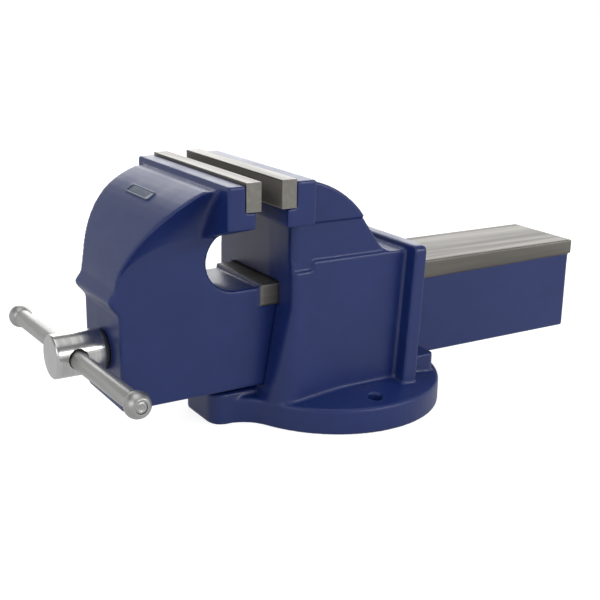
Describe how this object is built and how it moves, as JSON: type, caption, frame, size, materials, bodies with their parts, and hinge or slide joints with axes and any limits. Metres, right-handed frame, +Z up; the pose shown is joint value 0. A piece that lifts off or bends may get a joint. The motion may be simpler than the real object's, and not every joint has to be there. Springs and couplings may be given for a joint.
{
  "type": "bench vise",
  "caption": "Plain-screw bench vice: box slide through a cast body on an oval bolt-down base, with serrated jaw plates and a ball-ended tommy bar.",
  "frame": {"origin": "centre of the oval base's underside, on the bench top", "axes": "+Z up; +Y along the slide from the handle towards the slide's tail; +X along the jaws, to the right seen from behind the handle"},
  "size_m": [0.2492, 0.4617, 0.193],
  "materials": {
    "enamel": "satin dark blue enamel on cast iron",
    "jaw_steel": "ground",
    "turned_steel": "bright turned",
    "dark_steel": "oiled black steel",
    "spring_steel": "plain",
    "iron": "bare cast iron"
  },
  "bodies": {
    "body": {"fixed_body": "enamel", "fixed_jaw_plate": "jaw_steel", "fixed_plate_screw_left": "dark_steel", "fixed_plate_screw_right": "dark_steel", "main_nut": "iron", "nut_bolt_front": "dark_steel", "nut_bolt_rear": "dark_steel", "nut_bolt_washer_front": "spring_steel", "nut_bolt_washer_rear": "spring_steel"},
    "moving_jaw": {"moving_jaw": "enamel", "moving_jaw_plate": "jaw_steel", "moving_plate_screw_left": "dark_steel", "moving_plate_screw_right": "dark_steel", "thrust_washer": "dark_steel", "spring_washer": "dark_steel", "draw_spring": "spring_steel"},
    "screw": {"main_screw": "turned_steel", "retaining_collar": "dark_steel", "collar_pin": "dark_steel"},
    "handle": {"handle_bar": "turned_steel", "handle_knob_left": "turned_steel", "handle_knob_right": "turned_steel"}
  },
  "joints": [
    {"name": "jaw_slide", "type": "slide", "parent": "body", "child": "moving_jaw", "axis": [0, -1, 0], "range_m": [-0.0157, 0.134]},
    {"name": "screw_turn", "type": "hinge", "parent": "moving_jaw", "child": "screw", "pos_m": [0, -0.211, 0.067], "axis": [0, -1, 0], "range_deg": [-941, 8039]},
    {"name": "handle_slide", "type": "slide", "parent": "screw", "child": "handle", "axis": [0.9995, 0, 0.0332], "range_m": [-0.091, 0.091]}
  ],
  "couplings": [
    {"joint": "jaw_slide", "follows": "screw_turn", "m_per_rad": 0.00095493}
  ]
}
